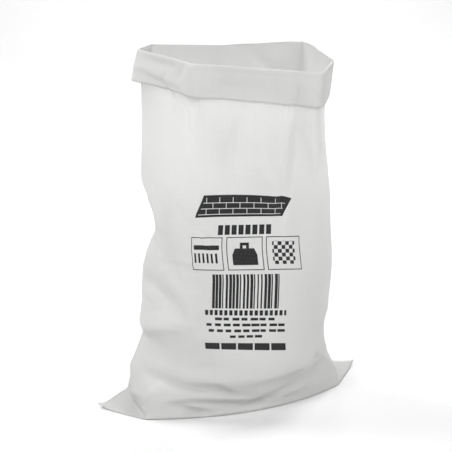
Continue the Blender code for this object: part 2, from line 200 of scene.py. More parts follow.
# the crisp creases that the cloth keeps where it was pressed flat or crumpled, in the same terms. On the
# cuff, which hangs down again, heights go on from the rim: as far above it as the place is below
CREASES = (
    ("middle ridge", ((0.299, 0.415), (0.289, 0.436), (0.274, 0.463), (0.260, 0.492), (0.245, 0.525)),
     (0.0, 0.006, 0.006, 0.005, 0.0), 0.035, 0.018, 1.2),
    ("right ridge two", ((0.305, 0.300), (0.326, 0.412), (0.339, 0.484), (0.343, 0.535), (0.343, 0.560)),
     (0.0, 0.007, 0.008, 0.006, 0.0), 0.014, 0.030, 1.1),
    ("right ridge three", ((0.378, 0.420), (0.372, 0.477), (0.363, 0.519), (0.363, 0.575)),
     (0.0, 0.005, 0.006, 0.004), 0.016, 0.022, 1.2),
    ("side pinch", ((-0.110, 0.340), (-0.060, 0.340), (0.000, 0.336), (0.045, 0.330), (0.070, 0.320)),
     (0.0, -0.017, -0.019, -0.009, 0.0), 0.034, 0.065, 1.0),
    ("strip edge", ((0.056, 0.394), (0.067, 0.375), (0.079, 0.352), (0.085, 0.325), (0.091, 0.301),
                    (0.090, 0.281)),
     (0.0, 0.005, 0.009, 0.010, 0.008, 0.0), 0.042, 0.016, 1.0),
    ("hollow edge", ((0.070, 0.400), (0.101, 0.391), (0.130, 0.379), (0.158, 0.358), (0.182, 0.336),
                     (0.205, 0.300)),
     (0.0, -0.004, -0.007, -0.009, -0.007, 0.0), 0.018, 0.042, 1.0),
    ("light crease", ((0.088, 0.281), (0.103, 0.279), (0.137, 0.281), (0.165, 0.281)),
     (0.004, 0.004, 0.003, 0.0), 0.007, 0.007, 1.0),
    ("lower edge", ((0.090, 0.279), (0.098, 0.259), (0.122, 0.237), (0.141, 0.216), (0.156, 0.182)),
     (0.003, 0.007, 0.008, 0.007, 0.0), 0.040, 0.020, 1.0),
    ("cone low edge", ((0.000, 0.122), (0.032, 0.134), (0.088, 0.155), (0.127, 0.167), (0.158, 0.176)),
     (0.0, 0.006, 0.008, 0.007, 0.0), 0.030, 0.013, 1.0),
    ("left facet", ((-0.010, 0.016), (0.030, 0.030), (0.081, 0.044), (0.115, 0.048)),
     (0.003, 0.007, 0.006, 0.0), 0.022, 0.018, 1.1),
    ("left crease", ((0.030, 0.066), (0.061, 0.068), (0.089, 0.071), (0.110, 0.064), (0.144, 0.058),
                     (0.188, 0.059), (0.209, 0.048), (0.245, 0.032)),
     (0.0, -0.006, -0.006, -0.007, -0.008, -0.009, -0.009, 0.0), 0.012, 0.010, 1.0),
    ("left crease two", ((0.100, 0.030), (0.128, 0.027), (0.160, 0.030), (0.200, 0.024), (0.239, 0.017),
                         (0.270, 0.016)),
     (0.0, -0.006, -0.009, -0.009, -0.007, 0.0), 0.010, 0.009, 1.0),
    ("left gap", ((0.105, 0.026), (0.128, 0.022), (0.143, 0.015), (0.156, 0.011), (0.182, 0.006)),
     (0.0, -0.007, -0.011, -0.011, 0.0), 0.010, 0.008, 1.0),
    ("right overhang", ((0.383, 0.108), (0.379, 0.091), (0.362, 0.076), (0.341, 0.069), (0.308, 0.065),
                        (0.281, 0.063), (0.240, 0.060)),
     (0.0, -0.008, -0.010, -0.010, -0.009, -0.007, 0.0), 0.009, 0.012, 1.0),
    ("right crease two", ((0.450, 0.076), (0.391, 0.066), (0.371, 0.059), (0.344, 0.052), (0.322, 0.046),
                          (0.298, 0.037), (0.276, 0.027), (0.249, 0.018), (0.221, 0.011)),
     (0.0, -0.006, -0.008, -0.009, -0.010, -0.010, -0.009, -0.008, 0.0), 0.012, 0.009, 1.0),
    ("overhang facet", ((0.367, 0.104), (0.350, 0.090), (0.335, 0.075)),
     (0.0, 0.004, 0.0), 0.010, 0.008, 1.0),
    ("low streak", ((0.350, 0.036), (0.330, 0.031), (0.300, 0.026), (0.285, 0.024)),
     (0.0, 0.005, 0.005, 0.0), 0.008, 0.008, 1.0),
    ("corner edge", ((0.181, 0.590), (0.180, 0.544), (0.178, 0.532), (0.175, 0.512), (0.173, 0.490),
                     (0.171, 0.440)),
     (0.006, 0.008, 0.008, 0.007, 0.005, 0.0), 0.032, 0.022, 1.0),
    ("left stripe", ((0.086, 0.580), (0.096, 0.548), (0.108, 0.531), (0.122, 0.516), (0.140, 0.497),
                     (0.150, 0.465)),
     (-0.004, -0.005, -0.005, -0.005, -0.004, 0.0), 0.012, 0.009, 1.0),
    ("right stripe", ((0.342, 0.590), (0.339, 0.544), (0.336, 0.524), (0.332, 0.503), (0.331, 0.460)),
     (-0.004, -0.005, -0.005, -0.004, 0.0), 0.012, 0.008, 1.0),
    ("middle stripe", ((0.238, 0.560), (0.228, 0.520), (0.216, 0.485), (0.213, 0.440)),
     (0.0, -0.004, -0.004, 0.0), 0.020, 0.014, 1.1),
    ("cuff corner", ((0.152, 0.621), (0.164, 0.631), (0.168, 0.648), (0.176, 0.665), (0.180, 0.682)),
     (0.004, 0.009, 0.010, 0.010, 0.009), 0.055, 0.038, 1.0),
    ("cuff left dent", ((0.000, 0.632), (0.060, 0.635), (0.110, 0.635), (0.145, 0.630)),
     (0.0, -0.003, -0.004, 0.0), 0.010, 0.010, 1.0),
    ("cuff left", ((-0.010, 0.652), (0.031, 0.652), (0.059, 0.657), (0.090, 0.661), (0.121, 0.664),
                   (0.150, 0.670)),
     (0.0, 0.004, 0.006, 0.006, 0.004, 0.0), 0.007, 0.016, 1.0),
    ("cuff right corner", ((0.387, 0.622), (0.379, 0.644), (0.375, 0.661), (0.375, 0.682)),
     (0.001, 0.003, 0.005, 0.005), 0.020, 0.020, 1.0),
    ("cuff furrow", ((0.188, 0.652), (0.211, 0.653), (0.246, 0.652), (0.300, 0.647)),
     (0.0, -0.002, -0.002, 0.0), 0.009, 0.009, 1.0),
    ("cuff dent", ((0.305, 0.640), (0.309, 0.657)),
     (-0.002, -0.002), 0.004, 0.004, 1.0),
    ("inner ridge", ((0.690, 0.440), (0.690, 0.540), (0.690, 0.616)),
     (0.0, -0.005, -0.005), 0.022, 0.022, 1.0),
    ("inner fold", ((0.628, 0.440), (0.626, 0.540), (0.624, 0.616)),
     (0.0, 0.006, 0.003), 0.018, 0.045, 1.0),
    ("inner hollow", ((0.800, 0.615), (0.765, 0.590), (0.730, 0.550), (0.700, 0.500)),
     (0.003, 0.005, 0.005, 0.0), 0.020, 0.020, 1.0),
)

# the seam's thread: how far it runs to each side, as a share of the flat width, its radius, its middle's
# height, and how many points it has along it and around it
THREAD_REACH = 0.45
THREAD_RADIUS = 0.00045
THREAD_HEIGHT = 0.0005
THREAD_POINTS = 200
THREAD_SIDES = 8
THREAD_COLOUR = (0.88, 0.87, 0.84, 1.0)

# the weave: how wide a tape is, how steep its edges are and how far it dips where it goes under. Then the
# colours, also of the light that comes through, how much of that comes through, and the sheen. The inner
# face is the same cloth as the printed face, but its colour is painted lighter: painted light, so that the
# shaded inside of the mouth looks brighter
TAPE = 0.0024
TAPE_EDGE = 6
TAPE_DIP = 0.35
CLOTH_COLOUR = (0.86, 0.86, 0.85, 1.0)
INNER_PAINTED_LIGHT_COLOUR = (0.93, 0.93, 0.92, 1.0)
GAP_COLOUR = (0.62, 0.62, 0.61, 1.0)
INK_COLOUR = (0.008, 0.008, 0.009, 1.0)
LIGHT_THROUGH = (0.90, 0.90, 0.90, 1.0)
TRANSLUCENCY = {"printed_weave": 0.45, "plain_weave": 0.7}
SHEEN_LEVEL = 0.2

# what the shade between gap and tape is made of: the weave's height, each tape's own tone, and clouds. Then
# the roughness, what a tape's tone adds to it and what ink takes away, and how well ink covers the gaps and
# adds on the tapes
WEAVE_SHARE, TONE_SHARE, CLOUD_SHARE = 0.72, 0.14, 0.14
ROUGHNESS, TONE_ROUGHNESS, INK_SMOOTHNESS = 0.46, 0.10, 0.10
INK_IN_GAPS, INK_ON_TAPES = 0.93, 0.07

# the patterns on the weave: how many lie across the sack's girth, how far the crumples' cells wander, how
# wide the valleys between them are, and the strength and height of the bumps
CLOUD_SCALE = 14.0
CRINKLE_SCALE = 55.0
CRUMPLE_SCALE = 20.0
CRUMPLE_WANDER = 0.03
CRUMPLE_VALLEY = 0.15
WEAVE_BUMP = (0.35, 0.0003)
CRINKLE_BUMP = (0.25, 0.004)
CRUMPLE_BUMP = (0.08, 0.004)

# how the print lies on the cloth: its own straight across and up, as sums of 1, across, up, across squared,
# across times up and up squared, measured on the cloth from the front's middle and from PRINT_MIDDLE
FRONT_MIDDLE = 0.25 * ROUND
PRINT_MIDDLE = 0.38
PRINT_ACROSS = (0.0075, 0.9901, -0.0338, -0.4612, 0.1003, -0.1428)
PRINT_UP = (0.3698, 0.0364, 0.9563, 0.7648, -0.2785, 0.1711)

# the print's shapes, each in a box of left, right, low and high: a slanted block with the joints of a brick
# wall in it, three framed signs with a ruler, a weight and a chequer, and uneven stripes. Bricks and checks
# are counted from PATTERN_START. A stripe fills its step by the first share at least, and up to both
BLOCK = (-0.096, 0.064, 0.4795, 0.5165)
BLOCK_INSIDE = (-0.091, 0.059, 0.4835, 0.5125)
BLOCK_LEAN = 0.42
BRICK_LENGTH = 0.025
BRICK_HEIGHT = 0.0097
JOINT = 0.0011
PATTERN_START = -1.0
SIGN_SIDES = ((-0.104, -0.041), (-0.034, 0.030), (0.036, 0.100))
SIGN_LOW, SIGN_HIGH = 0.386, 0.444
SIGN_LINE = 0.0015
RULER = (-0.098, -0.047, 0.422, 0.430)
WEIGHT = (-0.024, 0.020, 0.395, 0.424)
WEIGHT_MIDDLE, WEIGHT_HALF, WEIGHT_TAPER = -0.002, 0.030, 0.45
HANDLE = (-0.010, 0.006, 0.424, 0.434)
HANDLE_HOLE = (-0.005, 0.001, 0.424, 0.429)
CHEQUER = (0.047, 0.089, 0.396, 0.436)
CHECK_WIDTH, CHECK_HEIGHT = 0.0140, 0.0134
STRIPES = (-0.064, 0.060, 0.3195, 0.379)
STRIPE_STEP = 0.0062
STRIPE_FILL = (0.30, 0.55)

# rows of bars: left, right, low, high, the step from bar to bar, and a bar's width
BARS = (
    (-0.050, 0.046, 0.448, 0.465, 0.0122, 0.0090),
    (-0.098, -0.047, 0.399, 0.416, 0.0086, 0.0040),
    (-0.077, 0.071, 0.3075, 0.3165, 0.0090, 0.0058),
    (-0.076, 0.072, 0.2465, 0.2590, 0.0300, 0.0270),
)

# rows of dashes: low, left and right, and for all of them the height, the step, which is rounded to fit the
# row, and how much of it a dash fills: the first share at least, and up to both
DASHES = ((0.2990, -0.058, 0.054), (0.2890, -0.074, 0.073), (0.2790, -0.069, 0.071), (0.2690, -0.030, 0.029))
DASH_HEIGHT = 0.0046
DASH_STEP = 0.016
DASH_FILL = (0.60, 0.32)

# the studio: a floor that is level as far as FLOOR_LEVEL behind the sack and then runs up, and soft square
# lamps, as name, place, size, power and what they point at
FLOOR_START, FLOOR_LEVEL, FLOOR_END = -3.0, 3.0, 7.0
FLOOR_SIDE = 6.0
FLOOR_RISE = 0.25
FLOOR_ROWS = 60
FLOOR_COLOUR = (0.80, 0.80, 0.80, 1.0)
SACK = (0.0, 0.0, 0.35)
LAMPS = (
    ("front left", (-2.4, -2.2, 2.6), 2.0, 100.0, SACK),
    ("front right", (1.6, -2.6, 2.6), 2.0, 58.0, SACK),
    ("back left", (-1.2, 1.6, 2.6), 2.0, 74.0, SACK),
    ("back right", (2.2, 1.0, 2.4), 1.5, 60.0, SACK),
    ("behind", (1.0, 2.0, 0.9), 0.6, 10.0, SACK),
    ("backdrop", (1.3, 2.7, 2.8), 2.0, 64.0, (2.3, 4.7, 0.5)),
)

# the sky round the studio: how much light it gives, and how bright it looks past the floor's edge
SKY_COLOUR = (1.0, 1.0, 1.0, 1.0)
SKY_LIGHT = 0.06
SKY_SEEN = 1.0


class Value:
    """One number over a surface: a shader socket whose sums and products add their own Math nodes."""

    def __init__(self, finish, socket):
        self.finish = finish
        self.socket = socket

    def __add__(self, other):
        return self.finish.math("ADD", self, other)

    def __radd__(self, other):
        return self.finish.math("ADD", other, self)

    def __sub__(self, other):
        return self.finish.math("SUBTRACT", self, other)

    def __rsub__(self, other):
        return self.finish.math("SUBTRACT", other, self)

    def __mul__(self, other):
        return self.finish.math("MULTIPLY", self, other)

    def __rmul__(self, other):
        return self.finish.math("MULTIPLY", other, self)

    def __truediv__(self, other):
        return self.finish.math("DIVIDE", self, other)

    def __rtruediv__(self, other):
        return self.finish.math("DIVIDE", other, self)

    def __pow__(self, other):
        return self.finish.math("POWER", self, other)

    def __mod__(self, other):
        return self.finish.math("FLOORED_MODULO", self, other)

    def __lt__(self, other):
        return self.finish.math("LESS_THAN", self, other)

    def __gt__(self, other):
        return self.finish.math("GREATER_THAN", self, other)

    def __abs__(self):
        return self.finish.math("ABSOLUTE", self)


class Finish:
    """A material under construction, on a Principled shader."""

    def __init__(self, name):
        self.material = bpy.data.materials.new(name)
        self.material.use_nodes = True
        self.tree = self.material.node_tree
        self.surface = self.tree.nodes["Principled BSDF"]

    def node(self, kind, settings=None, inputs=None, output=0):
        """Adds a node: its settings first, then its sockets' values or links. Returns one of its
        outputs."""
        made = self.tree.nodes.new(kind)
        for name, value in (settings or {}).items():
            setattr(made, name, value)
        for name, value in (inputs or {}).items():
            self.feed(made.inputs[name], value)
        return Value(self, made.outputs[output])

    def feed(self, socket, value):
        if isinstance(value, Value):
            self.tree.links.new(value.socket, socket)
        else:
            socket.default_value = value

    def math(self, operation, *numbers):
        return self.node("ShaderNodeMath", {"operation": operation}, dict(enumerate(numbers)))

    def floor(self, number):
        return self.math("FLOOR", number)

    def either(self, first, second):
        return self.math("MAXIMUM", first, second)

    def mix(self, amount, first, second):
        return self.node("ShaderNodeMix", {"data_type": "RGBA"}, {0: amount, 6: first, 7: second}, 2)

    def noise(self, uv, scale, **inputs):
        return self.node("ShaderNodeTexNoise", {}, {"Vector": uv, "Scale": scale, **inputs})

    def random(self, number):
        return self.node("ShaderNodeTexWhiteNoise", {"noise_dimensions": "1D"}, {"W": number})

    def bump(self, height, size, under=None):
        strength, distance = size
        inputs = {"Strength": strength, "Distance": distance, "Height": height}
        return self.node("ShaderNodeBump", {}, inputs if under is None else {**inputs, "Normal": under})

    def set(self, **inputs):
        for name, value in inputs.items():
            self.feed(self.surface.inputs[name.replace("_", " ")], value)

    def let_light_through(self, amount, colour):
        """Mixes in a share of plain translucency, as thin pale cloth has."""
        glow = self.node("ShaderNodeBsdfTranslucent", inputs={"Color": colour})
        surface = Value(self, self.surface.outputs[0])
        both = self.node("ShaderNodeMixShader", inputs={0: amount, 1: surface, 2: glow})
        self.feed(self.tree.nodes["Material Output"].inputs["Surface"], both)


def eased(t):
    """0 below 0, 1 above 1, and a smooth S between: three times the square less twice the cube."""
    t = np.clip(t, 0.0, 1.0)
    return t * t * (3 - 2 * t)


def dot(first, second):
    """The dot product of two grids of arrows, place by place."""
    return np.einsum("ijk,ijk->ij", first, second)


def around(grid):
    """Which way a closed grid goes round at each place: from the place before it to the place after it."""
    return np.roll(grid, -1, axis=1) - np.roll(grid, 1, axis=1)


def foot_outline(share):
    """The base's outline without its ears: straight between its corners, with front and back bowed as
    parabolas."""
    corner = 0.5 * BASE_HALF / FLAT_WIDTH
    stops = (0.0, corner, 0.5 - corner, 0.5, 0.5 + corner, 1.0 - corner, 1.0)
    corners = np.array((LEFT_END, FRONT_LEFT, FRONT_RIGHT, RIGHT_END, BACK_RIGHT, BACK_LEFT, LEFT_END))
    outline = np.stack([np.interp(share, stops, corners[:, axis]) for axis in (0, 1)], axis=-1)
    for start, bow in ((0.0, -FRONT_BOW), (0.5, BACK_BOW)):
        along = np.clip((share - start - corner) / (0.5 - 2 * corner), 0.0, 1.0)
        outline[..., 1] += bow * 4 * along * (1 - along)
    return outline


def seam_point(across):
    """The bottom seam in plan: straight from tip to tip, and bowed forwards as a parabola."""
    along = across / FLAT_WIDTH + 0.5
    x = LEFT_TIP[0] + (RIGHT_TIP[0] - LEFT_TIP[0]) * along
    return np.stack([x, -SEAM_BOW * 4 * along * (1 - along)], axis=-1)


def oval(share, centre, width, depth, turn):
    """An oval in plan: its half width across the view goes with the cosine of the way round, and its half
    depth along the view with the sine."""
    angle = math.radians(turn) + 2 * math.pi * share
    across, away = -width * np.cos(angle), -depth * np.sin(angle)
    x = centre[0] + across * ACROSS_VIEW + away * ALONG_VIEW
    y = centre[1] - across * ALONG_VIEW + away * ACROSS_VIEW
    return np.stack([x, y], axis=-1)


def mouth_outline(share, corners):
    """A polygon in plan whose corners are cut off, and those cuts' corners again. It is walked round at an
    even pace from its first corner, so the share is of its own length."""
    outline = np.array(corners)
    for cut in MOUTH_CUTS:
        ahead = np.roll(outline, -1, axis=0)
        outline = np.stack([outline * (1 - cut) + ahead * cut, outline * cut + ahead * (1 - cut)], axis=1)
        outline = outline.reshape(-1, 2)
    start = np.argmin(np.hypot(*(outline - corners[0]).T))
    outline = np.roll(outline, -start, axis=0)
    closed = np.vstack([outline, outline[:1]])
    run = np.concatenate([[0.0], np.cumsum(np.hypot(*np.diff(closed, axis=0).T))])
    return np.stack([np.interp(share * run[-1], run, closed[:, axis]) for axis in (0, 1)], axis=-1)


def wall(share, height):
    """The tube's plan at each height: eased from the foot to three ovals, the neck and the mouth."""
    sections = [(0.0, foot_outline(share))]
    sections += [(level, oval(share, *shape)) for level, *shape in OVALS]
    sections += [(NECK_HEIGHT, mouth_outline(share, NECK)), (MOUTH_HEIGHT, mouth_outline(share, MOUTH))]
    plan = sections[0][1]
    for (low, _), (high, over) in zip(sections, sections[1:]):
        along = eased((height - low) / (high - low))[..., None]
        plan = plan * (1 - along) + over * along
    return plan


def full_girth(plan):
    """Each ring of the plan made deeper or shallower, along the way that the camera looks, until it is as
    long as the cloth is round. How wide the camera sees it stays."""
    across = plan[..., 0] * ACROSS_VIEW - plan[..., 1] * ALONG_VIEW
    away = plan[..., 0] * ALONG_VIEW + plan[..., 1] * ACROSS_VIEW
    middle = away.mean(axis=1, keepdims=True)
    wide = np.roll(across, -1, axis=1) - across
    for _ in range(GIRTH_ROUNDS):
        deep = np.roll(away, -1, axis=1) - away
        length = np.hypot(wide, deep)
        short = ROUND - length.sum(axis=1, keepdims=True)
        away = middle + (away - middle) * (1 + short / (deep ** 2 / length).sum(axis=1, keepdims=True))
    x = across * ACROSS_VIEW + away * ALONG_VIEW
    y = away * ACROSS_VIEW - across * ALONG_VIEW
    return np.stack([x, y], axis=-1)


def fold_depth(folds, share, height):
    """How far each place stands out or in for a list of folds. Each fold is a ridge or a furrow along a
    path. Its depth goes evenly from point to point, and falls away aside as a power of what is left of its
    reach."""
    depth = np.zeros_like(share)
    for _, path, depths, left, right, sharpness in folds:
        nearest = np.full(share.shape, 1.0)
        push = np.zeros_like(share)
        for start, end, first, last in zip(path, path[1:], depths, depths[1:]):
            step = (end[0] - start[0]) * ROUND, end[1] - start[1]
            away = ((share - start[0] + 0.5) % 1.0 - 0.5) * ROUND, height - start[1]
            along = (away[0] * step[0] + away[1] * step[1]) / (step[0] ** 2 + step[1] ** 2)
            along = np.clip(along, 0.0, 1.0)
            aside = away[0] - along * step[0], away[1] - along * step[1]
            on_left = step[0] * aside[1] - step[1] * aside[0] > 0
            gap = np.hypot(*aside) / np.where(on_left, left, right)
            nearer = gap < nearest
            nearest = np.where(nearer, gap, nearest)
            crest = (first + (last - first) * along) * (1 - np.minimum(gap, 1.0)) ** sharpness
            push = np.where(nearer, crest, push)
        depth += push
    return depth


def level_of(run):
    """How high the wall's cloth stands at so far up its run: as much as it is past the base's edge, less
    the spare length, which the crumpled part takes up along a parabola. Past the rim it goes on rising."""
    spare = FOLD_RUN - BASE_HALF - MOUTH_HEIGHT
    low = np.clip((run - BASE_HALF) / CRUMPLED, 0.0, 1.0)
    return run - BASE_HALF - spare * low * (2 - low)


def standing_cloth(share, run):
    """The wall and the cuff: the wall's plan at the cloth's height, pushed out along the plan's normal by
    the folds, and on the cuff by a gap that widens evenly down to the hem and most at the left end. The rim
    slopes down away from the camera."""
    body = run <= FOLD_RUN
    height = np.where(body, level_of(run), MOUTH_HEIGHT - (run - FOLD_RUN))
    plan = full_girth(wall(share, np.clip(height, 0, None)))
    along = around(plan)
    normal = np.stack([along[..., 1], -along[..., 0]], axis=-1)
    normal /= np.hypot(normal[..., 0], normal[..., 1])[..., None] + TINY
    push = fold_depth(FOLDS, share, height) * np.where(body & (run > BASE_HALF), 1.0, 0.0)
    drop = np.clip((run - FOLD_RUN) / CUFF_DEPTH, 0.0, 1.0)
    flare = CUFF_FLARE * np.exp(-((share + 0.5) % 1.0 - 0.5) ** 2 / FLARE_REACH ** 2)
    hang = np.where(body, 0.0, CUFF_GAP + (CUFF_SPREAD + flare) * drop)
    plan = plan + normal * (push + hang)[..., None]
    far = plan[..., 0] * ALONG_VIEW + plan[..., 1] * ACROSS_VIEW
    return plan, height - RIM_SLOPE * far * eased((run - 0.5 * FOLD_RUN) / (0.5 * FOLD_RUN))


def goal_surface(rows, columns):
    """The cloth before it is relaxed, from the way round and the way up. Up to half the base's depth it
    lies flat: the plate runs straight from the seam to the base's outline, or to the ear's edge beyond the
    base's end, and what is left of it there lies back on the plate as the ear. Above that it stands. The
    tips curl up as the square of how near they are."""
    share, run = np.meshgrid(np.arange(columns) / columns, np.arange(rows) * ROUND / columns)
    front = share <= 0.5
    across = np.where(front, share * 2 - 0.5, 1.5 - share * 2) * FLAT_WIDTH
    beyond = np.clip(np.abs(across) - (FLAT_WIDTH / 2 - BASE_HALF), 0.0, None)
    reach = np.clip(BASE_HALF - beyond, TINY_REACH, None)
    plate = run < reach
    ear = (run >= reach) & (run < BASE_HALF)
    plan, height = standing_cloth(share, run)
    left, ahead = (across < 0)[..., None], front[..., None]
    tip = np.where(left, LEFT_TIP, RIGHT_TIP)
    corner = np.where(left, np.where(ahead, FRONT_LEFT, BACK_LEFT), np.where(ahead, FRONT_RIGHT, BACK_RIGHT))
    leg = corner + (tip - corner) * (beyond / BASE_HALF)[..., None]
    foot, seam = foot_outline(share), seam_point(across)
    edge = np.where((beyond > 0)[..., None], leg, foot)
    plate_plan = seam + (edge - seam) * np.clip(run / reach, 0, 1)[..., None]
    inward = np.clip((run - reach) / np.clip(beyond, TINY_REACH, None), 0.0, 1.0)[..., None]
    ear_plan = leg + (foot - leg) * inward
    plan = np.where(plate[..., None], plate_plan, np.where(ear[..., None], ear_plan, plan))
    height = np.where(plate, PLATE_HEIGHT, np.where(ear, EAR_HEIGHT, np.maximum(height, WALL_FLOOR)))
    from_tip = np.hypot(*np.moveaxis(plan - tip, -1, 0))
    curl = TIP_CURL * np.clip(1 - from_tip / TIP_REACH, 0.0, 1.0) ** 2
    height = height + np.where(plate | ear, curl, 0.0)
    return share, run, plate, ear, np.concatenate([plan, height[..., None]], axis=-1)


def pull(cloth, moves, weights, down, across, rest, stiffness, give):
    """Adds the moves that bring every pair of places so many rows and columns apart back to its rest
    distance. A pair that is too near is brought apart with a share of the force that brings one too far
    together."""
    rows = cloth.shape[0] - down
    stiffness = stiffness[:rows]
    near = cloth[:rows]
    far = np.roll(cloth[down:], -across, axis=1)
    gap = far - near
    length = np.sqrt(dot(gap, gap)) + TINY_LINK
    move = (0.5 * stiffness * np.where(length < rest, give, 1.0) * (1 - rest / length))[..., None] * gap
    moves[:rows] += move
    moves[down:] -= np.roll(move, across, axis=1)
    weights[:rows] += stiffness
    weights[down:] += stiffness


def relax(goal, hold, floor, fold, gap, spacing):
    """The goal's grid of places, joined to their neighbours by links as long as the cut cloth, and let go
    for many short steps. No place sinks below its floor, the front and back of the first row stay sewn
    together, and the cuff stays outside the wall. No longer link crosses the rim, where the cloth is folded
    sharply."""
    cloth = goal.copy()
    speed = np.zeros_like(cloth)
    mirror = -np.arange(cloth.shape[1])
    links = [(0, 1, 1.0, 1.0, SLACK), (1, 0, 1.0, 1.0, SLACK), (1, 1, math.sqrt(2), SHEAR, 1.0),
             (1, -1, math.sqrt(2), SHEAR, 1.0)]
    links += [(0, reach, reach, BEND, 1.0) for reach in LONG_LINKS]
    links += [(reach, 0, reach, BEND, 1.0) for reach in LONG_LINKS]
    row = np.arange(cloth.shape[0])[:, None]
    stiff = [np.where((row < fold) & (row + down > fold), 0.0, strength)
             for down, _, _, strength, _ in links]
    for _ in range(ROUNDS):
        moves = np.zeros_like(cloth)
        weights = np.zeros(cloth.shape[:2])
        for (down, across, rest, _, give), stiffness in zip(links, stiff):
            pull(cloth, moves, weights, down, across, rest * spacing, stiffness, give)
        step = moves * (2.0 / weights)[..., None] + hold[..., None] * (goal - cloth)
        speed = np.clip(MOMENTUM * speed + step, -spacing / 2, spacing / 2)
        cloth = cloth + speed
        cloth[..., 2] = np.maximum(cloth[..., 2], floor)
        cloth[0] = (cloth[0] + cloth[0, mirror]) / 2
        hang_outside(cloth, fold, gap)
    return cloth


def hang_outside(cloth, fold, gap):
    """Keeps each row of the cuff outside the wall's row that it hangs over: where the gap is too small, the
    cuff goes out by most of what is missing and the wall in by the rest."""
    count = cloth.shape[0] - 1 - fold
    body = cloth[fold - count:fold][::-1]
    cuff = cloth[fold + 1:]
    along = around(body)
    out = np.stack([along[..., 1], -along[..., 0], 0 * along[..., 0]], axis=-1)
    out /= np.sqrt(dot(out, out))[..., None] + TINY
    short = np.maximum(gap[:, None] - dot(cuff - body, out), 0.0)[..., None] * out
    cuff += short * CUFF_YIELD
    body -= short * WALL_YIELD


def creased(cloth, share, run, flat, fold):
    """The cloth pushed along its own normals by the depth of the creases, except where it lies flat. Cuff
    and wall lie on each other, so they stand out together and go in together."""
    upward = np.gradient(cloth, axis=0)
    upward[fold] = cloth[fold] - cloth[fold - 1]
    upward[fold + 1] = cloth[fold + 2] - cloth[fold + 1]
    normal = np.cross(around(cloth), upward)
    normal /= np.sqrt(dot(normal, normal))[..., None] + TINY
    normal[fold + 1:] *= -1
    level = level_of(run)
    own = fold_depth(CREASES, share, level)
    other = fold_depth(CREASES, share, 2 * MOUTH_HEIGHT - level)
    out = np.maximum(own, np.where(run <= FOLD_RUN, 0.0, np.maximum(other, 0.0)))
    depth = np.maximum(out, 0.0) + np.minimum(np.minimum(own, other), 0.0)
    return cloth + normal * np.where(flat, 0.0, depth)[..., None]


def sack_cloth(columns):
    """The goal surface, relaxed until the cloth is nearly as long and as wide everywhere as it was cut, and
    then creased."""
    spacing = ROUND / columns
    rows = int(CLOTH_LENGTH / spacing) + 1
    share, run, plate, ear, goal = goal_surface(rows, columns)
    fold = int(round(FOLD_RUN / spacing))
    gap = LEAST_GAP + LEAST_SPREAD * np.arange(1, rows - fold) / (rows - 1 - fold)
    hold = np.where(plate | ear, HOLD_FLAT, HOLD_STANDING)
    hold[fold] = HOLD_FLAT
    floor = np.where(plate, PLATE_HEIGHT, np.where(ear, EAR_FLOOR, WALL_FLOOR))
    cloth = relax(goal, hold, floor, fold, gap, spacing)
    return run, creased(cloth, share, run, plate | ear, fold)


def thread_tube():
    """A round tube about the seam line, from the way along the seam and the way round the tube."""
    along = np.linspace(-THREAD_REACH, THREAD_REACH, THREAD_POINTS)[:, None]
    turn = np.linspace(0.0, 2 * math.pi, THREAD_SIDES + 1)[:-1]
    line = seam_point(along[:, 0] * FLAT_WIDTH)
    points = np.stack([line[:, :1] + 0 * turn, line[:, 1:2] + THREAD_RADIUS * np.cos(turn),
                       THREAD_HEIGHT + THREAD_RADIUS * np.sin(turn) + 0 * along], axis=-1)
    return along[:, 0], points


def studio_sweep():
    """The floor, from the way across and the way back: level, and past FLOOR_LEVEL rising as a parabola."""
    run = np.linspace(FLOOR_START, FLOOR_END, FLOOR_ROWS)
    points = np.zeros((FLOOR_ROWS, 2, 3))
    for column, side in enumerate((-FLOOR_SIDE, FLOOR_SIDE)):
        points[:, column, 0] = side * ACROSS_VIEW + run * ALONG_VIEW
        points[:, column, 1] = -side * ALONG_VIEW + run * ACROSS_VIEW
        points[:, column, 2] = FLOOR_RISE * np.clip(run - FLOOR_LEVEL, 0.0, None) ** 2
    return points


def surface_piece(name, points, across, along, closed, materials, sewn=False):
    """A mesh from a grid of points, with its two parameters as its UV map. A closed grid's last column
    meets its first. A sewn one's first row is shut, front to back; any other closed one has a flat cap at
    both ends."""
    rows, columns = points.shape[:2]
    index = np.arange(rows * columns).reshape(rows, columns)
    if sewn:
        index[0] = np.minimum(np.arange(columns), (columns - np.arange(columns)) % columns)
    steps = columns if closed else columns - 1
    row, column = np.meshgrid(np.arange(rows - 1), np.arange(steps), indexing="ij")
    square = ((0, 0), (0, 1), (1, 1), (1, 0))
    corners = np.stack([index[row + up, (column + on) % columns] for up, on in square], axis=-1)
    place = np.stack([np.stack([across[column + on], along[row + up]], axis=-1)
                      for up, on in square], axis=-2)
    used, corners = np.unique(corners, return_inverse=True)
    faces, place = corners.reshape(-1, 4).tolist(), place.reshape(-1, 2)
    if closed and not sewn:
        faces += [index[0, ::-1].tolist(), index[-1].tolist()]
        caps = [np.stack([across[:-1], np.full(columns, end)], axis=-1) for end in (along[0], along[-1])]
        place = np.concatenate([place, *caps])
    mesh = bpy.data.meshes.new(name)
    mesh.from_pydata(points.reshape(-1, 3)[used], [], faces)
    mesh.uv_layers.new(name="cloth").uv.foreach_set("vector", place.reshape(-1).astype(np.float32))
    mesh.shade_smooth()
    for material in materials:
        mesh.materials.append(material)
    piece = bpy.data.objects.new(name, mesh)
    bpy.context.scene.collection.objects.link(piece)
    return piece


